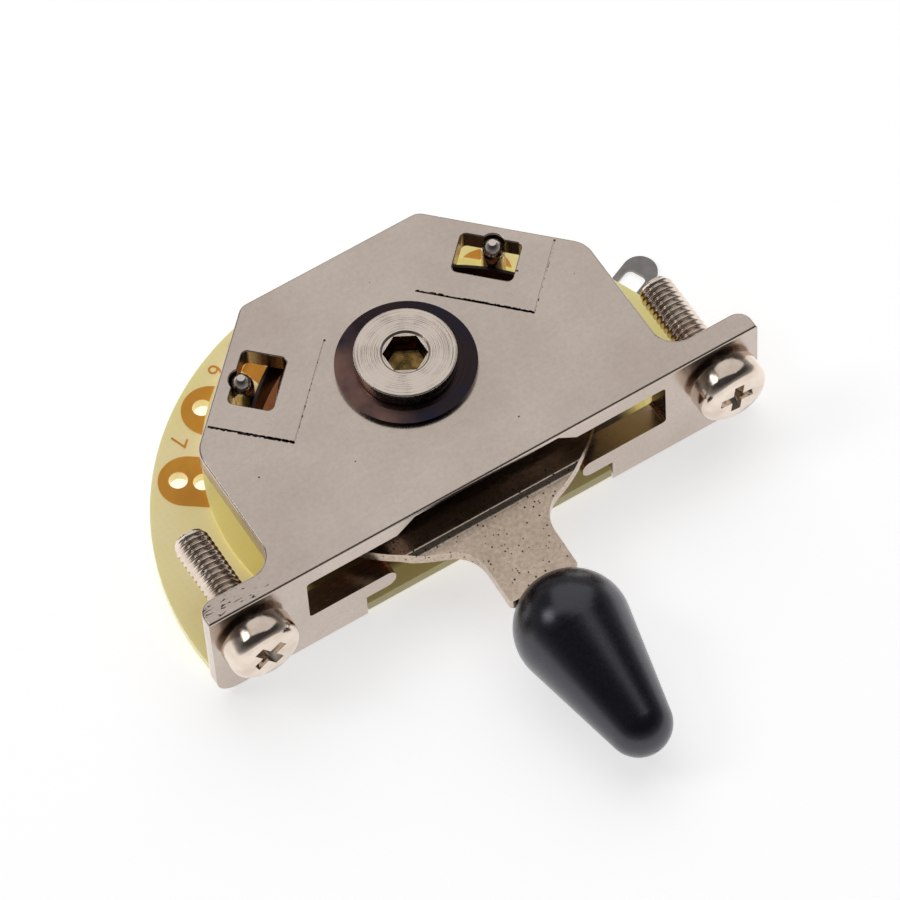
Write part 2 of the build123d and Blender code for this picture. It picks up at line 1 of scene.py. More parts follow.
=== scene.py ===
import math

import bmesh
import bpy
from mathutils import Matrix, Vector


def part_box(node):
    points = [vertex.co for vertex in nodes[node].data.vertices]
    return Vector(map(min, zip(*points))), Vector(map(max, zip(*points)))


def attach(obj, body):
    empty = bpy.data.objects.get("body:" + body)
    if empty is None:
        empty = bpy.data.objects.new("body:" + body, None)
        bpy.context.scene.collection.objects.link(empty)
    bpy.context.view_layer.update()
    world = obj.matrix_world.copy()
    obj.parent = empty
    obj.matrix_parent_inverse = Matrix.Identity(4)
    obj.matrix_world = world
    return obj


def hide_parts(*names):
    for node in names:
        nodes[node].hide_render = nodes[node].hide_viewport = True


# Looks of the guitar pickup selector switch, in metres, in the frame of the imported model.
# Materials see the object in millimetres, so their scales are waves or cells per millimetre. The depths of
# their bumps are metres.

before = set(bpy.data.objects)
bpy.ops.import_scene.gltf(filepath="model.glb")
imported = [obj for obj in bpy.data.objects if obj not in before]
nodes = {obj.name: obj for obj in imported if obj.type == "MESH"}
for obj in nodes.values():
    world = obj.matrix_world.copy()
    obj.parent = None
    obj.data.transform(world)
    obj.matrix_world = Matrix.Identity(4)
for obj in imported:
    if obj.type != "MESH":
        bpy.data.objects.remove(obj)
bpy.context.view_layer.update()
MM = 0.001
QUARTER_TURN = math.radians(90)

# Camera at the photograph's angle
PICTURE_SIDE = 900
FOCAL_PIXELS = 6322.776
SENSOR_WIDTH = 36.0
CAMERA_AZIMUTH = math.radians(-27.864)
CAMERA_ELEVATION = math.radians(58.649)
CAMERA_ROLL = math.radians(-4.346)
CAMERA_DISTANCE = 471.682 * MM
CAMERA_NEAR = 10 * MM
FOLD_PIXEL = (486.621, 474.436)

# Light: each lamp's name, place, side and power, the floor, and the room's brightness from the horizon up
LAMPS = (
    ("softbox", Vector((0.24, 0.38, 0.74)), 1.15, 3.6),
    ("strip", Vector((-0.55, 0.34, 0.66)), 0.3, 0.9),
)
FLOOR_SIDE = 30.0
FLOOR_COLOUR = (0.86, 0.86, 0.86, 1)
FLOOR_ROUGHNESS = 0.9
FLOOR_LIFT = 0.63
FLOOR_GLOSS = 0.22
ROOM_LEVELS = ((0.0, 0.75), (0.06, 0.62), (0.16, 0.30), (0.34, 0.18), (0.55, 0.05), (1.0, 0.05))

# Board and its numbers
BOARD_CENTRE = Vector((-0.63 * MM, 4.52 * MM, 0))
PAD_COUNT = 7
PAD_PITCH = math.radians(18.3)
LAST_NUMBER = math.radians(133.9)
NUMBER_RADIUS = 21.8 * MM
NUMBER_HEIGHT = 2.0 * MM
NUMBER_THICKNESS = 0.02 * MM
NUMBER_THINNING = 0.012 * MM

# A painted glow, for light that a translucent board would pass on from below, where the plate doesn't cover
# it.
# The covered part is given in millimetres by its half width, its front, its back and the slant across its
# rear corners; it gets painted shade in place of the glow, which darkens forwards from one distance to
# another.
PAINTED_GLOW = 0.36
FRONT_SHARE = 0.6
COVERED_HALF_WIDTH = 13.5
COVERED_FRONT = 2.5
COVERED_BACK = 20.5
COVERED_CORNER = 30.0
CORNER_SLOPE = 1.063
SIDE_FADE = 2
END_FADE = 1
SHADE_FROM = 16.0
SHADE_TO = 12.0

# Mounting screws
HEAD_HEIGHT = 2.2 * MM
HEAD_SEAT_SHARE = 0.97
HEAD_SEAT_EDGE = 0.06 * MM
FACE_RADIUS = 2.3 * MM
SHOULDER_HEIGHT = 0.9 * MM
SHOULDER_BULGE = 0.17 * MM
SHOULDER_STEPS = 8
THREAD_RADIUS = 1.45 * MM
THREAD_ROOT = 1.22 * MM
THREAD_PITCH = 0.5 * MM
THREAD_STEPS = 14
THREAD_SHARPNESS = 1.4
ROUND_STEPS = 64
RECESS_REACH = 1.5 * MM
RECESS_WING = 0.42 * MM
RECESS_DEPTH = 1.3 * MM
RECESS_REACH_ABOVE = 1.12
RECESS_REACH_FLOOR = 0.38
RECESS_WING_ABOVE = 1.04
RECESS_WING_FLOOR = 0.8
RECESS_TURN = {"left": math.radians(33.5), "right": math.radians(-8)}

# Pivot screw
PIVOT_HEAD_HEIGHT = 1.2 * MM
PIVOT_SHANK_RADIUS = 2.45 * MM
PIVOT_RIM_BREAK = 0.09 * MM
SOCKET_CORNERS = 6
SOCKET_FLATS = 3.0 * MM
SOCKET_TURN = math.radians(30.0)
SOCKET_DEPTH = 2.2 * MM
LEAD_IN_RADIUS = 1.92 * MM
LEAD_IN_DEPTH = 0.16 * MM

# Pieces: how far a cutter stands above a face, how near two points merge, and how edges are eased and shaded
CUTTER_OVERSHOOT = 0.3 * MM
MERGE_DISTANCE = 0.002 * MM
EASED_SCREW_EDGE = 0.06 * MM
EASED_PIVOT_EDGE = 0.03 * MM
EASED_SEGMENTS = 2
EASED_FROM = math.radians(35)
SMOOTH_HEAD = math.radians(40)
SMOOTH_PIVOT = math.radians(30)
SMOOTH_THREAD = math.radians(75)

# Mould lines in the plate: corner, direction, length and half width in millimetres, and how unbroken they
# are at the corner and at the far end
MOULD_LINES = (
    ((10.6, 10.2), (-0.7, 0.714), 9.33, 0.075, 1.15, 0.35),
    ((10.6, 10.2), (0.714, 0.7), 6.75, 0.045, 0.25, 0.0),
    ((-10.6, 10.2), (-0.714, 0.7), 6.75, 0.085, 1.15, 0.75),
    ((-10.6, 10.2), (0.7, 0.714), 9.33, 0.04, 0.20, 0.0),
)

# Swing of a mould line's half width: its least and most share, what an unbroken line adds, and the cap
RAGGED_SCALE = 3.4
RAGGED_LEAST = -1.6
RAGGED_MOST = 0.5
WHOLE_GAIN = 2.0
WIDEST_SHARE = 1.6

# Worn marks on the top of the flange's left end, in millimetres, and the noise level that they start from at
# the end and further in
WORN_DEPTH = 0.05
WORN_FRONT = 0.3
WORN_BACK = 1.9
WORN_END = -20.5
WORN_INNER = -15.0
WORN_LEVELS = (0.63, 0.82)

# Washer's left side, lighter and brown by a painted reflection, and its blue rim, and the darker amber-brown
# inside the socket, in millimetres from the pivot's axis. The darker inside starts a little below the
# lead-in.
LIT_SIDE_FROM = -1.5
LIT_SIDE_TO = -4.5
BLUE_FROM = 4.2
BLUE_TO = 5.0
SOCKET_DARK_RADIUS = 1.85
SOCKET_DARK_BELOW = 0.04

# Parts of a noise's range that are spread over the whole range of what it drives, and how strong the plate's
# grain and the board's weave are
MIDDLE = (0.35, 0.65)
WIDE = (0.3, 0.7)
RING_SPREAD = (0.5, 0.68)
PATCH_SPREAD = (0.4, 0.62)
PATCH_LEAST = 0.15
GRAIN_HEIGHT = 0.2
WEAVE_SHARE = 0.12

# Colours, as pairs from light to dark or singly
CASTING = ((0.56, 0.479, 0.424, 1), (0.50, 0.42, 0.366, 1))
SHEET = ((0.60, 0.485, 0.39, 1), (0.51, 0.40, 0.31, 1))
STEEL = ((0.62, 0.555, 0.505, 1), (0.50, 0.435, 0.385, 1))
SCREW_STEEL = ((0.72, 0.62, 0.535, 1), (0.57, 0.47, 0.39, 1))
PIVOT_STEEL = ((0.63, 0.54, 0.475, 1), (0.34, 0.275, 0.22, 1))
SPRING_STEEL = ((0.045, 0.036, 0.034, 1), (0.025, 0.02, 0.02, 1))
WASHER = ((0.028, 0.019, 0.020, 1), (0.016, 0.011, 0.012, 1))
BRONZE = ((0.66, 0.42, 0.20, 1), (0.50, 0.30, 0.13, 1))
TIN = ((0.27, 0.25, 0.24, 1), (0.20, 0.185, 0.18, 1))
COPPER = ((0.90, 0.41, 0.035, 1), (0.80, 0.33, 0.025, 1))
BOARD = ((0.79, 0.69, 0.38, 1), (0.73, 0.65, 0.24, 1))
SPACER = ((0.74, 0.64, 0.26, 1), (0.68, 0.60, 0.165, 1))
# Painted shade on the board under the plate: amber at the back, dark brown further forward
BOARD_PAINTED_SHADE = ((0.42, 0.27, 0.07, 1), (0.13, 0.085, 0.03, 1))
RED_FIBRE = ((0.62, 0.16, 0.10, 1), (0.72, 0.30, 0.08, 1))
PHENOLIC = ((0.70, 0.27, 0.09, 1), (0.56, 0.20, 0.06, 1))
BLACK_PLASTIC = ((0.005, 0.005, 0.009, 1), (0.008, 0.008, 0.013, 1))
SOCKET_DARK_AMBER = ((0.10, 0.07, 0.025, 1), (0.30, 0.175, 0.055, 1))
PLATE_GRAIN = (0.16, 0.13, 0.10, 1)
PLATE_MARKS = (0.02, 0.015, 0.012, 1)
# Painted reflection on the washer's left side, lighter and brown
WASHER_LIT_SIDE = (0.155, 0.086, 0.072, 1)
WASHER_BLUE = (0.018, 0.018, 0.030, 1)
WASHER_DUST = (0.30, 0.28, 0.27, 1)
WEAVE = (0.62, 0.52, 0.20, 1)
PLASTIC_DUST = (0.10, 0.10, 0.11, 1)
PLASTIC_GLOSS = (0.88, 0.89, 1.0, 1)

pivot = sum(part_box("pivot_screw"), Vector()) / 2


def add(tree, kind, values=(), **settings):
    """A shader node with its settings and its inputs, where an input that is a socket is linked."""
    made = tree.nodes.new("ShaderNode" + kind)
    for key, value in settings.items():
        setattr(made, key, value)
    for key, value in dict(values).items():
        if isinstance(value, bpy.types.NodeSocket):
            tree.links.new(value, made.inputs[key])
        else:
            made.inputs[key].default_value = value
    return made


def new_material(name, **inputs):
    """A material with its principled shader set, and the places on the object in millimetres."""
    made = bpy.data.materials.new(name)
    made.use_nodes = True
    tree = made.node_tree
    shader = tree.nodes["Principled BSDF"]
    for key, value in inputs.items():
        shader.inputs[key.replace("_", " ")].default_value = value
    place = add(tree, "TexCoord").outputs["Object"]
    scaled = add(tree, "VectorMath", {0: place, "Scale": 1 / MM}, operation="SCALE")
    return made, tree, shader, scaled.outputs["Vector"]


def calculate(tree, operation, first, second=0.0):
    """One step of arithmetic on shader values."""
    return add(tree, "Math", {0: first, 1: second}, operation=operation).outputs[0]


def blended(tree, factor, first, second):
    """A colour between two others."""
    made = add(tree, "Mix", {0: factor, 6: first, 7: second}, data_type="RGBA")
    return made.outputs[2]


def remapped(tree, value, low, high, new_low=0.0, new_high=1.0):
    """A value carried from one range to another, and held there."""
    inputs = {"Value": value, "From Min": low, "From Max": high, "To Min": new_low, "To Max": new_high}
    return add(tree, "MapRange", inputs).outputs["Result"]


def combined(tree, operation, place, other, output="Vector"):
    """One step of arithmetic on places."""
    return add(tree, "VectorMath", {0: place, 1: other}, operation=operation).outputs[output]


def along_axis(tree, place, axis):
    """A place's distance along one axis."""
    return add(tree, "SeparateXYZ", {0: place}).outputs[axis]


def noise(tree, place, scale, detail=3.0):
    """Cloudy variation."""
    made = add(tree, "TexNoise", {"Vector": place, "Scale": scale, "Detail": detail})
    return made.outputs["Fac"]


def cloudy(tree, place, scale, detail=3.0, spread=MIDDLE, low=0.0, high=1.0):
    """Cloudy variation from a low to a high value."""
    return remapped(tree, noise(tree, place, scale, detail), *spread, low, high)


def specks(tree, place, scale, size, share):
    """Small round marks: one in each cell of a share of the cells."""
    least = 0.4
    cells = add(tree, "TexVoronoi", {"Vector": place, "Scale": scale})
    parts = add(tree, "SeparateColor", {"Color": cells.outputs["Color"]})
    reach = remapped(tree, parts.outputs["Green"], 0, 1, size * least, size)
    near = calculate(tree, "LESS_THAN", cells.outputs["Distance"], reach)
    kept = calculate(tree, "LESS_THAN", parts.outputs["Red"], share)
    return calculate(tree, "MULTIPLY", near, kept)


def bumped(tree, shader, height, depth, strength):
    """A bump of a depth in metres on the shader's normal."""
    made = add(tree, "Bump", {"Height": height, "Distance": depth, "Strength": strength})
    tree.links.new(made.outputs["Normal"], shader.inputs["Normal"])


def roughened(tree, shader, place, scale, low, high, detail=3.0):
    """Roughness that varies between two values."""
    rough = cloudy(tree, place, scale, detail, WIDE, low, high)
    tree.links.new(rough, shader.inputs["Roughness"])


def within(tree, value, low, high):
    """One where a value lies between two limits, and nothing elsewhere."""
    above = calculate(tree, "GREATER_THAN", value, low)
    return calculate(tree, "MULTIPLY", above, calculate(tree, "LESS_THAN", value, high))


def mould_line(tree, place, start, direction, length, half_width, whole_near, whole_far):
    """A ragged dark line along the top plate, more broken towards its far end."""
    from_start = combined(tree, "SUBTRACT", place, (*start, 0))
    along = combined(tree, "DOT_PRODUCT", from_start, (*direction, 0), "Value")
    across = combined(tree, "DOT_PRODUCT", from_start, (-direction[1], direction[0], 0), "Value")
    whole = remapped(tree, along, 0, length, whole_near, whole_far)
    swing = cloudy(tree, place, RAGGED_SCALE, low=RAGGED_LEAST, high=RAGGED_MOST)
    share = calculate(tree, "ADD", swing, calculate(tree, "MULTIPLY", whole, WHOLE_GAIN))
    ragged = calculate(tree, "MULTIPLY", share, half_width)
    ragged = calculate(tree, "MINIMUM", ragged, half_width * WIDEST_SHARE)
    near = calculate(tree, "LESS_THAN", calculate(tree, "ABSOLUTE", across), ragged)
    return calculate(tree, "MULTIPLY", near, within(tree, along, 0, length))


def worn_end(tree, place):
    """Clustered dark wear on the top of the flange's left end."""
    plate_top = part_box("frame_body")[1].z / MM
    on_top = calculate(tree, "GREATER_THAN", along_axis(tree, place, "Z"), plate_top - WORN_DEPTH)
    on_flange = within(tree, along_axis(tree, place, "Y"), WORN_FRONT, WORN_BACK)
    on_end = calculate(tree, "MULTIPLY", on_top, on_flange)
    threshold = remapped(tree, along_axis(tree, place, "X"), WORN_END, WORN_INNER, *WORN_LEVELS)
    drawn_out = combined(tree, "MULTIPLY", place, (0.8, 3.0, 1.0))
    worn = calculate(tree, "GREATER_THAN", noise(tree, drawn_out, scale=2.2, detail=4.0), threshold)
    return calculate(tree, "MULTIPLY", on_end, worn)


def satin_nickel(name, colours, roughness, pit_share, fleck_share, grain_share, lined=False):
    """Nickel plate with cloudy tone, fine grain, dark pits, flecks and faint scratches."""
    made, tree, shader, place = new_material(name, Metallic=1.0)
    colour = blended(tree, cloudy(tree, place, scale=0.12), *colours)
    fine_tone = cloudy(tree, place, scale=3.2, detail=4.0, spread=WIDE, high=grain_share)
    colour = blended(tree, fine_tone, colour, PLATE_GRAIN)
    pits = specks(tree, place, scale=0.45, size=0.05, share=pit_share)
    flecks = specks(tree, place, scale=3.4, size=0.30, share=fleck_share)
    marks = calculate(tree, "MAXIMUM", pits, flecks)
    if lined:
        for line in MOULD_LINES:
            marks = calculate(tree, "MAXIMUM", marks, mould_line(tree, place, *line))
        marks = calculate(tree, "MAXIMUM", marks, worn_end(tree, place))
    colour = blended(tree, marks, colour, PLATE_MARKS)
    tree.links.new(colour, shader.inputs["Base Color"])
    scratches = combined(tree, "MULTIPLY", place, (0.5, 9.0, 1.0))
    roughened(tree, shader, scratches, scale=0.6, low=roughness - 0.03, high=roughness + 0.04, detail=2.0)
    grain = calculate(tree, "MULTIPLY", noise(tree, place, scale=5.0), GRAIN_HEIGHT)
    bumped(tree, shader, calculate(tree, "SUBTRACT", grain, marks), depth=0.02 * MM, strength=0.6)
    return made


def turned_steel(name, colours, roughness, ring_pitch, ring_depth, centre):
    """Steel with the fine broken rings that a lathe leaves round an upright axis."""
    made, tree, shader, place = new_material(name, Metallic=1.0)
    from_axis = combined(tree, "SUBTRACT", place, tuple(centre / MM))
    flat = combined(tree, "MULTIPLY", from_axis, (1.0, 1.0, 0.0))
    radius = add(tree, "VectorMath", {0: flat}, operation="LENGTH").outputs["Value"]
    turns = {"W": calculate(tree, "DIVIDE", radius, ring_pitch), "Scale": 1.0, "Detail": 3.0}
    rings = add(tree, "TexNoise", turns, noise_dimensions="1D").outputs["Fac"]
    patchy = cloudy(tree, place, scale=0.45, spread=PATCH_SPREAD, low=PATCH_LEAST)
    rings = calculate(tree, "MULTIPLY", remapped(tree, rings, *RING_SPREAD), patchy)
    colour = blended(tree, rings, *colours)
    tree.links.new(colour, shader.inputs["Base Color"])
    roughened(tree, shader, place, scale=1.5, low=roughness - 0.04, high=roughness + 0.05)
    bumped(tree, shader, rings, ring_depth, strength=0.8)
    return made, tree, shader, place, radius, colour


def bright_steel(name, colours, roughness):
    """Plain bright steel with slight stains and fine handling marks."""
    made, tree, shader, place = new_material(name, Metallic=1.0)
    tone = cloudy(tree, place, scale=0.5, spread=(0.35, 0.7))
    tree.links.new(blended(tree, tone, *colours), shader.inputs["Base Color"])
    roughened(tree, shader, place, scale=2.5, low=roughness - 0.05, high=roughness + 0.07)
    bumped(tree, shader, noise(tree, place, scale=5.0), depth=0.01 * MM, strength=0.4)
    return made


def pivot_head():
    """The turned socket head, darker and amber-brown in cloudy patches inside its hexagon, from its own face
    down.
    """
    made, tree, shader, place, radius, colour = turned_steel(
        "pivot_head", PIVOT_STEEL, roughness=0.24, ring_pitch=0.085, ring_depth=0.012 * MM, centre=Vector())
    # Darker amber-brown in cloudy patches inside the hexagon, below the lead-in
    floor = -LEAD_IN_DEPTH / MM - SOCKET_DARK_BELOW
    below = calculate(tree, "LESS_THAN", along_axis(tree, place, "Z"), floor)
    inside = calculate(tree, "MULTIPLY", below, calculate(tree, "LESS_THAN", radius, SOCKET_DARK_RADIUS))
    dark_amber = blended(tree, cloudy(tree, place, scale=1.3, spread=(0.4, 0.6)), *SOCKET_DARK_AMBER)
    tree.links.new(blended(tree, inside, colour, dark_amber), shader.inputs["Base Color"])
    return made


def blued_washer():
    """Blued spring steel with a painted reflection that makes its left side lighter and brown, and darker
    blue towards its rim.
    """
    made, tree, shader, place, radius, colour = turned_steel(
        "blued_washer", WASHER, roughness=0.2, ring_pitch=0.16, ring_depth=0.003 * MM, centre=pivot)
    # Painted reflection: the left side lighter and brown, in cloudy patches
    leftness = remapped(tree, along_axis(tree, place, "X"), LIT_SIDE_FROM, LIT_SIDE_TO)
    lit_side = calculate(tree, "MULTIPLY", leftness, cloudy(tree, place, scale=0.5, spread=(0.3, 0.6), low=0.5))
    colour = blended(tree, lit_side, colour, WASHER_LIT_SIDE)
    rim = remapped(tree, radius, BLUE_FROM, BLUE_TO)
    blue = calculate(tree, "MULTIPLY", rim, cloudy(tree, place, scale=0.3, spread=(0.45, 0.65)))
    colour = blended(tree, blue, colour, WASHER_BLUE)
    dust = specks(tree, place, scale=2.2, size=0.09, share=0.12)
    colour = blended(tree, dust, colour, WASHER_DUST)
    tree.links.new(colour, shader.inputs["Base Color"])
    return made


def uncovered(tree, place):
    """One where the plate leaves the board open to the light, and nothing under its middle: the share given
    the painted glow in place of the painted shade.
    """
    back = along_axis(tree, place, "Y")
    half = calculate(tree, "ABSOLUTE", along_axis(tree, place, "X"))
    outside = remapped(tree, half, COVERED_HALF_WIDTH, COVERED_HALF_WIDTH + SIDE_FADE)
    behind = remapped(tree, back, COVERED_BACK, COVERED_BACK + END_FADE)
    before = remapped(tree, back, COVERED_FRONT, COVERED_FRONT - END_FADE, 0, FRONT_SHARE)
    slant = calculate(tree, "ADD", half, calculate(tree, "MULTIPLY", back, CORNER_SLOPE))
    past_corner = remapped(tree, slant, COVERED_CORNER, COVERED_CORNER + SIDE_FADE)
    for share in (behind, before, past_corner):
        outside = calculate(tree, "MAXIMUM", outside, share)
    return outside


def fibreglass(name, colours):
    """Bare fibreglass: translucent, with the glass cloth's weave, cloudy resin, painted shade under the
    plate and a painted glow beside it.
    """
    made, tree, shader, place = new_material(
        name, Roughness=0.36, Subsurface_Weight=0.6, Subsurface_Scale=1.6 * MM,
        Subsurface_Radius=(1.0, 0.9, 0.45), Coat_Weight=0.15, Coat_Roughness=0.2)
    colour = blended(tree, cloudy(tree, place, scale=0.09), *colours)
    cloth = {"Vector": place, "Scale": 0.6, "Distortion": 0.6}
    along = add(tree, "TexWave", cloth, bands_direction="X").outputs["Fac"]
    across = add(tree, "TexWave", cloth, bands_direction="Y").outputs["Fac"]
    weave = calculate(tree, "MULTIPLY", along, across)
    colour = blended(tree, calculate(tree, "MULTIPLY", weave, WEAVE_SHARE), colour, WEAVE)
    # Painted shade under the plate, darker further forward, and a painted glow where the plate leaves the
    # board open
    shade = remapped(tree, along_axis(tree, place, "Y"), SHADE_FROM, SHADE_TO)
    shaded_under_plate = blended(tree, shade, *BOARD_PAINTED_SHADE)
    open_share = uncovered(tree, place)
    colour = blended(tree, open_share, shaded_under_plate, colour)
    tree.links.new(colour, shader.inputs["Base Color"])
    tree.links.new(colour, shader.inputs["Emission Color"])
    tree.links.new(calculate(tree, "MULTIPLY", open_share, PAINTED_GLOW), shader.inputs["Emission Strength"])
    bumped(tree, shader, weave, depth=0.006 * MM, strength=0.5)
    return made


def copper(name):
    """Copper under amber lacquer."""
    made, tree, shader, place = new_material(name, Metallic=0.2, Coat_Weight=0.12, Coat_Roughness=0.25,
                                             Specular_IOR_Level=0.25)
    colour = blended(tree, cloudy(tree, place, scale=0.35, spread=WIDE), *COPPER)
    tree.links.new(colour, shader.inputs["Base Color"])
    roughened(tree, shader, place, scale=2.0, low=0.38, high=0.52)
    bumped(tree, shader, noise(tree, place, scale=4.0), depth=0.01 * MM, strength=0.4)
    return made


def pressed_board(name, colours, roughness):
    """Pressed phenolic or fibre, mottled, with a faint grain."""
    made, tree, shader, place = new_material(name, Roughness=roughness)
    colour = blended(tree, cloudy(tree, place, scale=0.9, detail=5.0), *colours)
    tree.links.new(colour, shader.inputs["Base Color"])
    fibres = combined(tree, "MULTIPLY", place, (1.0, 5.0, 1.0))
    bumped(tree, shader, noise(tree, fibres, scale=2.0), depth=0.01 * MM, strength=0.5)
    return made


def black_plastic():
    """Satin moulded plastic with a fine spark finish and a little dust."""
    made, tree, shader, place = new_material("black_plastic", Specular_IOR_Level=0.8,
                                             Specular_Tint=PLASTIC_GLOSS)
    colour = blended(tree, cloudy(tree, place, scale=0.4, spread=WIDE), *BLACK_PLASTIC)
    dust = specks(tree, place, scale=1.6, size=0.07, share=0.05)
    tree.links.new(blended(tree, dust, colour, PLASTIC_DUST), shader.inputs["Base Color"])
    roughened(tree, shader, place, scale=3.0, low=0.24, high=0.31, detail=4.0)
    bumped(tree, shader, noise(tree, place, scale=9.0, detail=2.0), depth=0.006 * MM, strength=0.5)
    return made


def dress_nodes():
    """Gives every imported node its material, and returns the materials by node."""
    casting = satin_nickel("nickel_casting", CASTING, roughness=0.24, pit_share=0.22, fleck_share=0.004,
                           grain_share=0.12, lined=True)
    sheet = satin_nickel("nickel_sheet", SHEET, roughness=0.22, pit_share=0.8, fleck_share=0.30,
                         grain_share=0.40)
    steel = bright_steel("bright_steel", STEEL, roughness=0.14)
    screw = bright_steel("screw_steel", SCREW_STEEL, roughness=0.17)
    foil = copper("copper")
    bronze = bright_steel("bronze", BRONZE, roughness=0.28)
    dressed = {
        "frame_body": casting, "lever": sheet,
        "circuit_board": fibreglass("board", BOARD), "board_spacer": fibreglass("spacer", SPACER),
        "terminal_pads": foil, "common_ring": foil, "ground_lug": bright_steel("tin", TIN, roughness=0.42),
        "spring_post_left": steel, "spring_post_right": steel, "lug_rivet": steel, "rotor_rivets": steel,
        "detent_spring": bright_steel("spring_steel", SPRING_STEEL, roughness=0.32),
        "pivot_bush": steel, "pivot_nut": steel, "pivot_screw": pivot_head(),
        "dished_washer": blued_washer(), "lever_tip": black_plastic(),
        "fibre_disc": pressed_board("red_fibre", RED_FIBRE, roughness=0.5),
        "contact_rotor": pressed_board("phenolic", PHENOLIC, roughness=0.4),
        "wiper_left": bronze, "wiper_right": bronze, "wiper_rivets": bronze,
        "mounting_screw_left": screw, "mounting_screw_right": screw,
    }
    for name, material in dressed.items():
        mesh = nodes[name].data
        mesh.materials.clear()
        mesh.materials.append(material)
    return dressed


def piece_from(mesh, name, material):
    """A new object in the scene from a finished bmesh."""
    data = bpy.data.meshes.new(name)
    mesh.to_mesh(data)
    mesh.free()
    data.materials.append(material)
    made = bpy.data.objects.new(name, data)
    bpy.context.scene.collection.objects.link(made)
    return made


def turned(profile):
    """A closed bmesh from a list of radius and height points, turned about Z."""
    mesh = bmesh.new()
    points = [mesh.verts.new((radius, 0, height)) for radius, height in profile]
    edges = [mesh.edges.new(pair) for pair in zip(points, points[1:])]
    bmesh.ops.spin(mesh, geom=points + edges, cent=(0, 0, 0), axis=(0, 0, 1), angle=2 * math.pi,
                   steps=ROUND_STEPS, use_merge=True)
    bmesh.ops.remove_doubles(mesh, verts=mesh.verts, dist=MERGE_DISTANCE)
    bmesh.ops.recalc_face_normals(mesh, faces=mesh.faces)
    return mesh


def head_profile(radius):
    """The head's side, its bulging shoulder and its flat face."""
    rim = HEAD_HEIGHT - SHOULDER_HEIGHT
    run = FACE_RADIUS - radius
    chord = math.hypot(run, SHOULDER_HEIGHT)
    points = [(0, 0), (radius * HEAD_SEAT_SHARE, 0), (radius, HEAD_SEAT_EDGE), (radius, rim)]
    for n in range(1, SHOULDER_STEPS + 1):
        share = n / SHOULDER_STEPS
        bulge = SHOULDER_BULGE * 4 * share * (1 - share)
        points.append((radius + run * share + bulge * SHOULDER_HEIGHT / chord,
                       rim + SHOULDER_HEIGHT * share - bulge * run / chord))
    return points + [(0, HEAD_HEIGHT)]


def recess_wedge(across, turn):
    """One tapered wing of the cross recess, from above the face down to its floor."""
    mesh = bmesh.new()
    corners = []
    above = (HEAD_HEIGHT + CUTTER_OVERSHOOT, RECESS_REACH_ABOVE, RECESS_WING_ABOVE)
    floor = (HEAD_HEIGHT - RECESS_DEPTH, RECESS_REACH_FLOOR, RECESS_WING_FLOOR)
    for height, reach_share, wing_share in (above, floor):
        reach, wing = RECESS_REACH * reach_share, RECESS_WING * wing_share
        for side, end in ((-1, -1), (1, -1), (1, 1), (-1, 1)):
            corner = (side * reach, end * wing) if across else (side * wing, end * reach)
            corners.append(mesh.verts.new((*corner, height)))
    bmesh.ops.convex_hull(mesh, input=corners)
    bmesh.ops.rotate(mesh, verts=mesh.verts, cent=(0, 0, 0), matrix=Matrix.Rotation(turn, 3, "Z"))
    return mesh


def screw_thread(length):
    """The threaded shank: a cylinder whose radius rises and falls along a helix."""
    mesh = bmesh.new()
    rings = round(length / THREAD_PITCH * THREAD_STEPS)
    grid = []
    for ring in range(rings + 1):
        along = length * ring / rings
        fade = min(1.0, (length - along) / THREAD_PITCH)
        row = []
        for step in range(ROUND_STEPS):
            turn = 2 * math.pi * step / ROUND_STEPS
            phase = (along / THREAD_PITCH - step / ROUND_STEPS) % 1
            rise = math.sin(math.pi * phase) ** THREAD_SHARPNESS
            radius = THREAD_ROOT + (THREAD_RADIUS - THREAD_ROOT) * rise * fade
            row.append(mesh.verts.new((radius * math.cos(turn), radius * math.sin(turn), -along)))
        grid.append(row)
    for upper, lower in zip(grid, grid[1:]):
        for n in range(ROUND_STEPS):
            after = (n + 1) % ROUND_STEPS
            mesh.faces.new((upper[n], lower[n], lower[after], upper[after]))
    mesh.faces.new(grid[-1][::-1])
    mesh.faces.new(grid[0])
    bmesh.ops.recalc_face_normals(mesh, faces=mesh.faces)
    return mesh


def finished(made, smooth_angle):
    """Bakes an object's modifiers into its mesh and shades it smooth up to an angle."""
    graph = bpy.context.evaluated_depsgraph_get()
    data = bpy.data.meshes.new_from_object(made.evaluated_get(graph))
    made.modifiers.clear()
    made.data = data
    data.shade_smooth()
    data.set_sharp_from_angle(angle=smooth_angle)


def cut_and_eased(made, cutters, edge, smooth_angle):
    """Cuts the cutters away from a piece, eases its edges and bakes both into its mesh."""
    for cutter in cutters:
        cut = made.modifiers.new("cut", "BOOLEAN")
        cut.operation = "DIFFERENCE"
        cut.solver = "EXACT"
        cut.object = cutter
    bevel = made.modifiers.new("edges", "BEVEL")
    bevel.width = edge
    bevel.segments = EASED_SEGMENTS
    bevel.limit_method = "ANGLE"
    bevel.angle_limit = EASED_FROM
    finished(made, smooth_angle)
    for cutter in cutters:
        bpy.data.objects.remove(cutter)


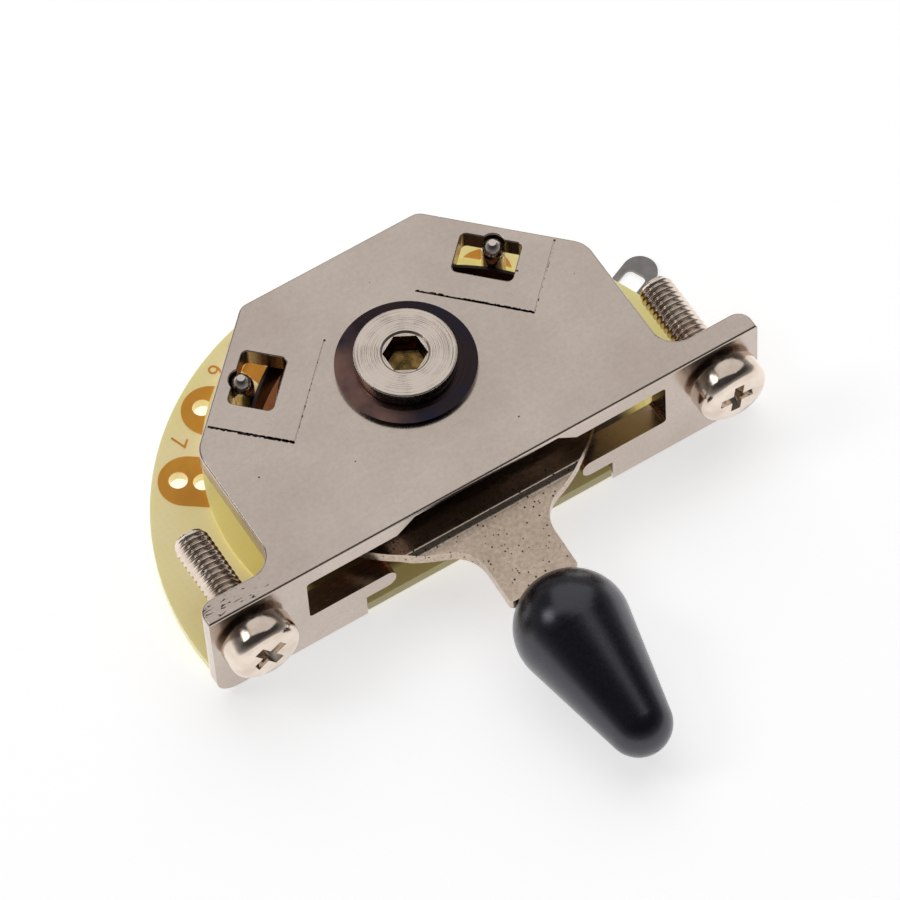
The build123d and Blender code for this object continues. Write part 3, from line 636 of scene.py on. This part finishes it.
def mounting_screw(side, material):
    """A pan-head cross-recess screw with its real thread, in place of the plain one."""
    node = "mounting_screw_" + side
    low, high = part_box(node)
    head = piece_from(turned(head_profile((high.x - low.x) / 2)), node + "_head", material)
    wings = [recess_wedge(across, RECESS_TURN[side]) for across in (False, True)]
    cutters = [piece_from(wing, "cutter", material) for wing in wings]
    cut_and_eased(head, cutters, EASED_SCREW_EDGE, SMOOTH_HEAD)
    seat = low.y + HEAD_HEIGHT
    thread = piece_from(screw_thread(high.y - seat), node + "_thread", material)
    finished(thread, SMOOTH_THREAD)
    turn = Matrix.Rotation(QUARTER_TURN, 4, "X")
    spot = Matrix.Translation(((low.x + high.x) / 2, seat, (low.z + high.z) / 2))
    for part in (head, thread):
        part.matrix_world = spot @ turn
        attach(part, "housing")
    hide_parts(node)
    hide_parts(node)


def socket_cutter():
    """The hexagonal socket, from above the head's face down to its floor."""
    mesh = bmesh.new()
    corner = SOCKET_FLATS / math.sqrt(3)
    corners = []
    for height in (CUTTER_OVERSHOOT, -SOCKET_DEPTH):
        for n in range(SOCKET_CORNERS):
            turn = SOCKET_TURN + 2 * math.pi * n / SOCKET_CORNERS
            corners.append(mesh.verts.new((corner * math.cos(turn), corner * math.sin(turn), height)))
    bmesh.ops.convex_hull(mesh, input=corners)
    return mesh


def pivot_screw(material):
    """The low socket head with its crisp rim and round lead-in, and its plain shank."""
    low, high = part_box("pivot_screw")
    radius = (high.x - low.x) / 2
    end = low.z - high.z
    under = -PIVOT_HEAD_HEIGHT
    profile = [(0, end), (PIVOT_SHANK_RADIUS, end), (PIVOT_SHANK_RADIUS, under), (radius, under),
               (radius, -PIVOT_RIM_BREAK), (radius - PIVOT_RIM_BREAK, 0), (LEAD_IN_RADIUS, 0),
               (LEAD_IN_RADIUS - LEAD_IN_DEPTH, -LEAD_IN_DEPTH), (0, -LEAD_IN_DEPTH)]
    head = piece_from(turned(profile), "pivot_screw_turned", material)
    cut_and_eased(head, [piece_from(socket_cutter(), "cutter", material)], EASED_PIVOT_EDGE, SMOOTH_PIVOT)
    head.location = ((low.x + high.x) / 2, (low.y + high.y) / 2, high.z)
    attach(head, "housing")
    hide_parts("pivot_screw")


def board_numbers(material):
    """A small copper number beside each terminal, its top towards the pivot."""
    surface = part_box("circuit_board")[1].z
    for n in range(PAD_COUNT):
        angle = LAST_NUMBER - PAD_PITCH * (PAD_COUNT - 1 - n)
        curve = bpy.data.curves.new("number", "FONT")
        curve.body = str(n + 1)
        curve.size = NUMBER_HEIGHT
        curve.offset = -NUMBER_THINNING
        curve.extrude = NUMBER_THICKNESS
        curve.align_x = "CENTER"
        curve.align_y = "CENTER"
        made = bpy.data.objects.new("number_" + str(n + 1), curve)
        bpy.context.scene.collection.objects.link(made)
        out = Vector((math.cos(angle), math.sin(angle), 0))
        made.location = BOARD_CENTRE + out * NUMBER_RADIUS + Vector((0, 0, surface + NUMBER_THICKNESS / 2))
        made.rotation_euler = (0, 0, angle + QUARTER_TURN)
        curve.materials.append(material)
        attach(made, "housing")


def pale_floor():
    """A pale floor, lifted towards white for the camera, in gloss and through clear pieces."""
    bpy.ops.mesh.primitive_plane_add(size=FLOOR_SIDE, location=(0, 0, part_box("frame_body")[0].z))
    floor = bpy.context.object
    floor.name = "floor"
    material, tree, shader = new_material("floor", Roughness=FLOOR_ROUGHNESS, Base_Color=FLOOR_COLOUR)[:3]
    path = add(tree, "LightPath")
    seen = calculate(tree, "MAXIMUM", path.outputs["Is Camera Ray"], path.outputs["Is Glossy Ray"])
    seen = calculate(tree, "MAXIMUM", seen, path.outputs["Is Transmission Ray"])
    gloss = calculate(tree, "MULTIPLY", path.outputs["Is Glossy Ray"], FLOOR_GLOSS)
    lift = calculate(tree, "ADD", calculate(tree, "MULTIPLY", seen, FLOOR_LIFT), gloss)
    glow = add(tree, "Emission", {"Color": (1, 1, 1, 1), "Strength": lift})
    both = add(tree, "AddShader", {0: shader.outputs[0], 1: glow.outputs[0]})
    tree.links.new(both.outputs[0], tree.nodes["Material Output"].inputs["Surface"])
    floor.data.materials.append(material)


def studio_light():
    """A softbox behind the part, a small lamp at its left and a dim room around it."""
    for name, place, side, power in LAMPS:
        lamp = bpy.data.lights.new(name, "AREA")
        lamp.shape = "SQUARE"
        lamp.size = side
        lamp.energy = power
        held = bpy.data.objects.new(name, lamp)
        held.location = place
        held.rotation_euler = place.to_track_quat("Z", "Y").to_euler()
        bpy.context.scene.collection.objects.link(held)
    world = bpy.data.worlds.new("studio")
    world.use_nodes = True
    tree = world.node_tree
    height = along_axis(tree, add(tree, "TexCoord").outputs["Generated"], "Z")
    ramp = add(tree, "ValToRGB", {"Fac": height})
    stops = ramp.color_ramp.elements
    while len(stops) < len(ROOM_LEVELS):
        stops.new(0.5)
    for stop, (position, level) in zip(stops, ROOM_LEVELS):
        stop.position = position
        stop.color = (level, level, level, 1)
    tree.links.new(ramp.outputs["Color"], tree.nodes["Background"].inputs["Color"])
    bpy.context.scene.world = world


def camera():
    """The camera, placed so that the middle of the plate's front edge falls on its own pixel."""
    azimuth, elevation = CAMERA_AZIMUTH, CAMERA_ELEVATION
    back = Vector((math.sin(azimuth) * math.cos(elevation), -math.cos(azimuth) * math.cos(elevation),
                   math.sin(elevation)))
    level = Vector((math.cos(azimuth), math.sin(azimuth), 0))
    upward = back.cross(level)
    right = level * math.cos(CAMERA_ROLL) + upward * math.sin(CAMERA_ROLL)
    up = upward * math.cos(CAMERA_ROLL) - level * math.sin(CAMERA_ROLL)
    pixel = CAMERA_DISTANCE / FOCAL_PIXELS
    across = (FOLD_PIXEL[0] - PICTURE_SIDE / 2) * pixel
    down = (FOLD_PIXEL[1] - PICTURE_SIDE / 2) * pixel
    fold = Vector((0, 0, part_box("frame_body")[1].z))
    made = bpy.data.objects.new("camera", bpy.data.cameras.new("camera"))
    made.data.sensor_width = SENSOR_WIDTH
    made.data.lens = FOCAL_PIXELS * SENSOR_WIDTH / PICTURE_SIDE
    made.data.clip_start = CAMERA_NEAR
    place = fold + back * CAMERA_DISTANCE - right * across + up * down
    made.matrix_world = Matrix.Translation(place) @ Matrix((right, up, back)).transposed().to_4x4()
    bpy.context.scene.collection.objects.link(made)
    bpy.context.scene.camera = made


def main():
    """Builds the looks."""
    dressed = dress_nodes()
    for side in ("left", "right"):
        mounting_screw(side, dressed["mounting_screw_" + side])
    pivot_screw(dressed["pivot_screw"])
    board_numbers(dressed["terminal_pads"])
    pale_floor()
    studio_light()
    camera()
    bpy.context.scene.view_settings.view_transform = "Standard"


main()
